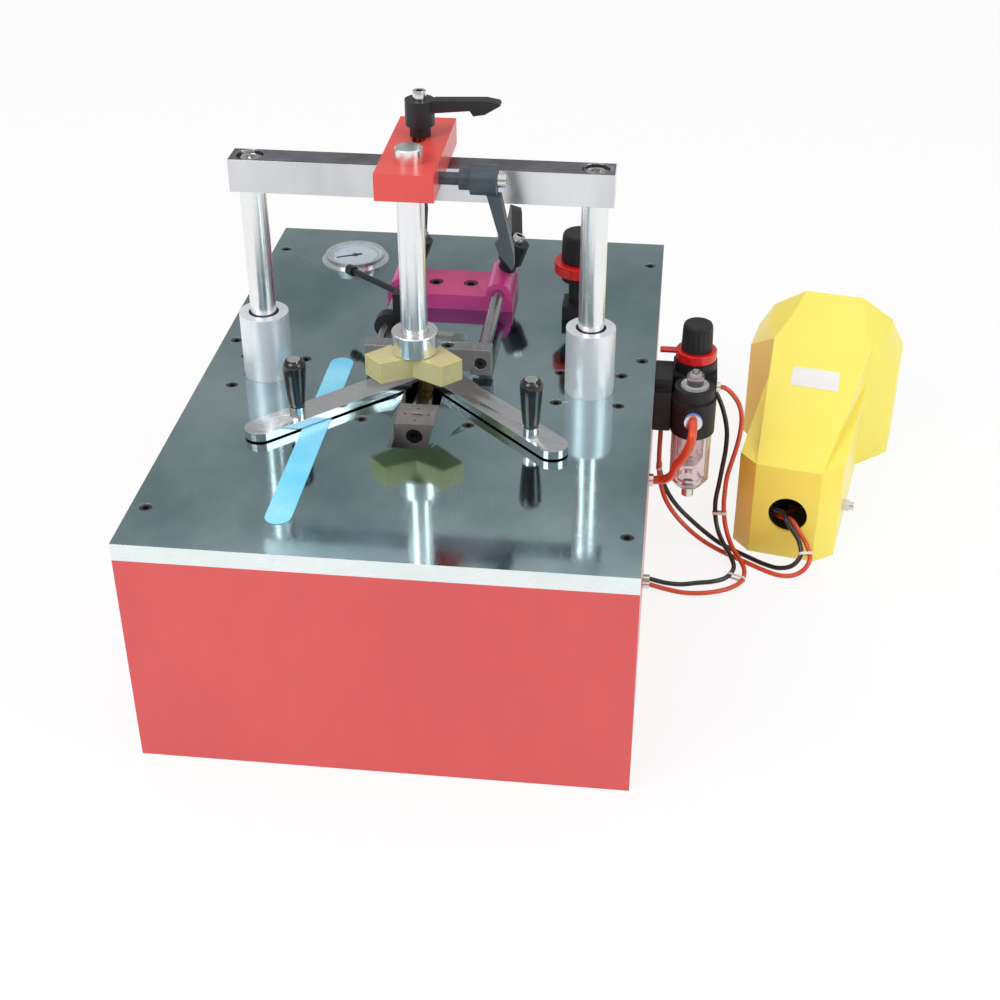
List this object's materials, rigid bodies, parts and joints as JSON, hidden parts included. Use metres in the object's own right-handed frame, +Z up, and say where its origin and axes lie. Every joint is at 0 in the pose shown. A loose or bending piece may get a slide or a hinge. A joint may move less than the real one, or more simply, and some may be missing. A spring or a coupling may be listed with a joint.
{
  "type": "picture frame underpinner",
  "caption": "Pneumatic bench machine that nails mitred picture frame corners from below, with an overhead clamp press, a V fence on slide shafts and a foot pedal valve.",
  "frame": {"origin": "middle of the cabinet's underside, on the bench", "axes": "+X to the operator's right, +Y away from the operator, +Z up"},
  "size_m": [0.6584, 0.6306, 0.4716],
  "materials": {
    "red": "smooth powder coat",
    "yellow_paint": "smooth powder coat",
    "magenta": "anodised",
    "mirror_plate": "mirror polished",
    "dark_steel": "blackened",
    "black_steel": "black oxide",
    "grey_steel": "ground",
    "bright_steel": "ground",
    "spring_steel": "drawn wire",
    "satin_alu": "satin",
    "nickel": "nickel plated",
    "chrome": "hard chrome",
    "brass": "turned",
    "black_rubber": "matt",
    "urethane": "translucent urethane",
    "black_plastic": "fine grain",
    "grey_plastic": "fine grain",
    "red_plastic": "moulded",
    "white": "printed card",
    "blue": "self-adhesive film",
    "orange_tube": "polyurethane",
    "clear": "clear polycarbonate"
  },
  "bodies": {
    "machine": {"cabinet": "red", "base_plate": "dark_steel", "table": "mirror_plate", "table_screws": "black_steel", "guide_sleeves": "satin_alu", "rod_wipers": "black_rubber", "clamp_barrels": "satin_alu", "driver_barrel": "satin_alu", "nail_block": "dark_steel", "magazine_rail": "grey_steel", "slide_bracket": "magenta", "blue_strip": "blue", "gauge_case": "chrome", "gauge_dial": "white", "gauge_glass": "clear", "valve_block": "satin_alu", "regulator_body": "black_plastic", "lock_rings": "red_plastic", "air_bracket": "black_plastic", "air_bodies": "black_plastic", "air_bowls": "clear", "tube_fittings": "nickel", "pedal_base": "dark_steel", "pedal_hood": "yellow_paint", "pedal_valve": "satin_alu", "pedal_bolt": "nickel", "pedal_spring": "spring_steel", "supply_hose": "orange_tube", "pedal_tubes": "orange_tube", "feed_tubes": "orange_tube"},
    "press": {"crossbar": "satin_alu", "crossbar_screws": "black_steel", "column_rods": "chrome", "clamp_pistons": "satin_alu"},
    "head": {"head_block": "red"},
    "top_lever": {"top_lever": "black_plastic"},
    "side_lever": {"side_lever": "grey_plastic"},
    "press_rod": {"press_rod": "chrome", "press_foot": "satin_alu"},
    "press_pad": {"press_pad": "urethane"},
    "fence": {"fence_bar": "bright_steel", "slide_shafts": "bright_steel", "fence_screws": "black_steel", "fence_pin": "black_steel"},
    "left_arm": {"left_arm": "bright_steel"},
    "right_arm": {"right_arm": "bright_steel"},
    "left_grip": {"left_grip": "black_plastic"},
    "right_grip": {"right_grip": "black_plastic"},
    "position_lever": {"position_lever": "black_plastic"},
    "left_clamp_lever": {"left_clamp_lever": "black_plastic"},
    "right_clamp_lever": {"right_clamp_lever": "black_plastic"},
    "driver_ram": {"driver_ram": "grey_steel"},
    "nail_pusher": {"nail_pusher": "brass"},
    "gauge_needle": {"gauge_needle": "black_plastic"},
    "regulator_knob": {"regulator_knob": "black_plastic"},
    "air_knob": {"air_knob": "black_plastic"},
    "treadle": {"treadle": "black_plastic"},
    "valve_plunger": {"valve_plunger": "brass"}
  },
  "joints": [
    {"name": "press_stroke", "type": "slide", "parent": "machine", "child": "press", "axis": [0, 0, -1], "range_m": [0, 0.022], "stiffness_N_per_m": 3000, "springref_m": -0.05},
    {"name": "head_reach", "type": "slide", "parent": "press", "child": "head", "axis": [0, 1, 0], "range_m": [-0.012, 0.012]},
    {"name": "top_lever_turn", "type": "hinge", "parent": "press", "child": "top_lever", "pos_m": [0, -0.0175, 0.449], "axis": [0, 0, 1], "range_deg": [-60, 90]},
    {"name": "side_lever_turn", "type": "hinge", "parent": "head", "child": "side_lever", "pos_m": [0.041, -0.0755, 0.4218], "axis": [1, 0, 0], "range_deg": [-90, 28]},
    {"name": "press_rod_height", "type": "slide", "parent": "head", "child": "press_rod", "axis": [0, 0, 1], "range_m": [-0.02, 0.06]},
    {"name": "pad_swivel", "type": "hinge", "parent": "press_rod", "child": "press_pad", "pos_m": [0, -0.0755, 0.264], "axis": [0, 0, 1], "range_deg": [-30, 30]},
    {"name": "fence_depth", "type": "slide", "parent": "machine", "child": "fence", "axis": [0, 1, 0], "range_m": [-0.015, 0.03]},
    {"name": "left_arm_angle", "type": "hinge", "parent": "fence", "child": "left_arm", "pos_m": [0, -0.0062, 0.212], "axis": [0, 0, 1], "range_deg": [-12, 12]},
    {"name": "right_arm_angle", "type": "hinge", "parent": "fence", "child": "right_arm", "pos_m": [0, -0.0062, 0.216], "axis": [0, 0, 1], "range_deg": [-12, 12]},
    {"name": "left_grip_spin", "type": "hinge", "parent": "left_arm", "child": "left_grip", "pos_m": [-0.09703, -0.10435, 0.239], "axis": [0, 0, 1], "continuous": true},
    {"name": "right_grip_spin", "type": "hinge", "parent": "right_arm", "child": "right_grip", "pos_m": [0.10157, -0.11669, 0.239], "axis": [0, 0, 1], "continuous": true},
    {"name": "position_lever_turn", "type": "hinge", "parent": "fence", "child": "position_lever", "pos_m": [-0.0465, 0.0535, 0.226], "axis": [0, 1, 0], "range_deg": [-20, 55]},
    {"name": "left_clamp_turn", "type": "hinge", "parent": "machine", "child": "left_clamp_lever", "pos_m": [-0.0465, 0.1609, 0.226], "axis": [0.342, 0, 0.9397], "range_deg": [-40, 60]},
    {"name": "right_clamp_turn", "type": "hinge", "parent": "machine", "child": "right_clamp_lever", "pos_m": [0.0465, 0.1609, 0.226], "axis": [0.342, 0, 0.9397], "range_deg": [-50, 30]},
    {"name": "driver_stroke", "type": "slide", "parent": "machine", "child": "driver_ram", "axis": [0, 0, 1], "range_m": [0, 0.023]},
    {"name": "nail_feed", "type": "slide", "parent": "machine", "child": "nail_pusher", "axis": [0, -1, 0], "range_m": [0, 0.06]},
    {"name": "gauge_needle_turn", "type": "hinge", "parent": "machine", "child": "gauge_needle", "pos_m": [-0.111, 0.2255, 0.21], "axis": [0, 0, 1], "range_deg": [-180, 60]},
    {"name": "regulator_turn", "type": "hinge", "parent": "machine", "child": "regulator_knob", "pos_m": [0.1235, 0.1275, 0.271], "axis": [0, 0, 1], "continuous": true},
    {"name": "air_knob_turn", "type": "hinge", "parent": "machine", "child": "air_knob", "pos_m": [0.236, 0.0585, 0.221], "axis": [0, 0, 1], "continuous": true},
    {"name": "treadle_press", "type": "hinge", "parent": "machine", "child": "treadle", "pos_m": [0.34145, 0.1054, 0.032], "axis": [-0.9816, 0.1908, 0], "range_deg": [0, 8], "stiffness_Nm_per_rad": 4, "springref_deg": -20.05, "deforming": ["pedal_spring"]},
    {"name": "plunger_push", "type": "slide", "parent": "machine", "child": "valve_plunger", "axis": [0, 0, -1], "range_m": [0, 0.007]}
  ],
  "couplings": [
    {"joint": "plunger_push", "follows": "treadle_press", "m_per_rad": 0.045}
  ]
}
